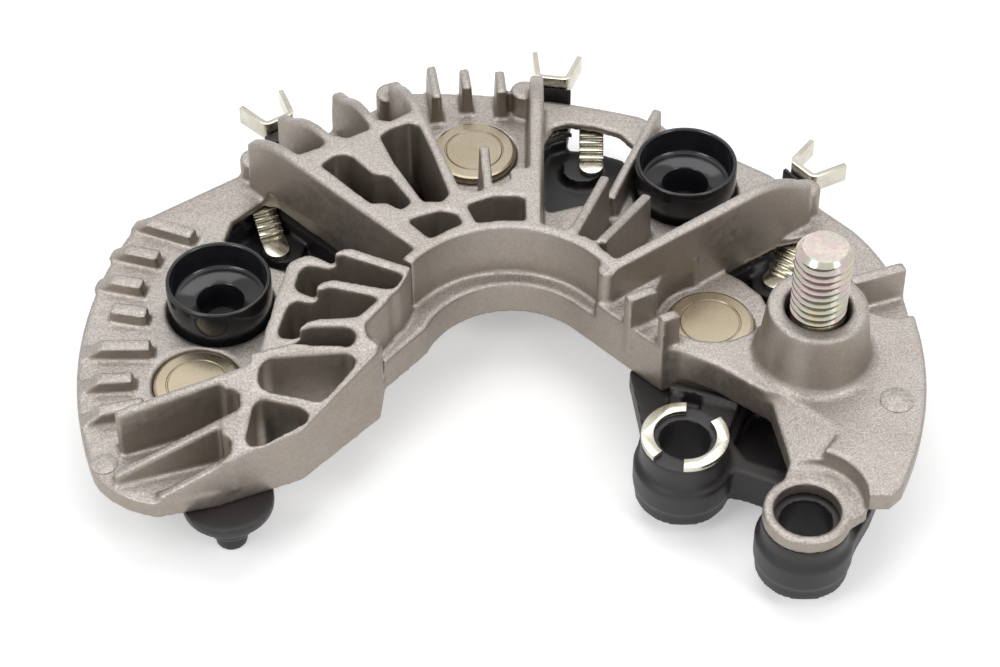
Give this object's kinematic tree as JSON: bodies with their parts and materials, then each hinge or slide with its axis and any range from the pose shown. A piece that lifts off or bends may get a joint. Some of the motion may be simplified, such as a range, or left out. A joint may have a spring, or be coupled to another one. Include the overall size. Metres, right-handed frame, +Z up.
{
  "type": "bridge rectifier",
  "caption": "Horseshoe bridge rectifier for an alternator: die-cast heat sink with press-fit diodes, phase terminals, insulating bushes and an output stud on a black carrier.",
  "frame": {"origin": "centre of the plan box at the tip of the locating peg, the lowest point", "axes": "+Z up out of the heat sink's finned face, parallel to the output stud; the horseshoe opens towards -Y; +X towards the stud's arm"},
  "size_m": [0.1213, 0.1004, 0.0395],
  "materials": {
    "cast_aluminium": "die cast, grainy, unmachined",
    "zinc_steel": "yellow passivated zinc",
    "bush_plastic": "glossy black moulding",
    "carrier_plastic": "glass-filled, matte black",
    "nickel_cup": "warm nickel plating",
    "silicon": "passivated silicon",
    "copper_lead": "drawn copper",
    "potting_resin": "cured resin",
    "tinned_strip": "bright tin plating"
  },
  "bodies": {
    "root": {"b_plus_stud": "zinc_steel", "bush_left": "bush_plastic", "bush_rear": "bush_plastic", "diode_cup_left": "nickel_cup", "diode_cup_rear": "nickel_cup", "diode_cup_right": "nickel_cup", "diode_die_left": "silicon", "diode_die_rear": "silicon", "diode_die_right": "silicon", "diode_lead_left": "copper_lead", "diode_lead_rear": "copper_lead", "diode_lead_right": "copper_lead", "diode_potting_left": "potting_resin", "diode_potting_rear": "potting_resin", "diode_potting_right": "potting_resin", "heat_sink": "cast_aluminium", "phase_terminal_left": "tinned_strip", "phase_terminal_rear": "tinned_strip", "phase_terminal_right": "tinned_strip", "terminal_carrier": "carrier_plastic"}
  },
  "joints": []
}
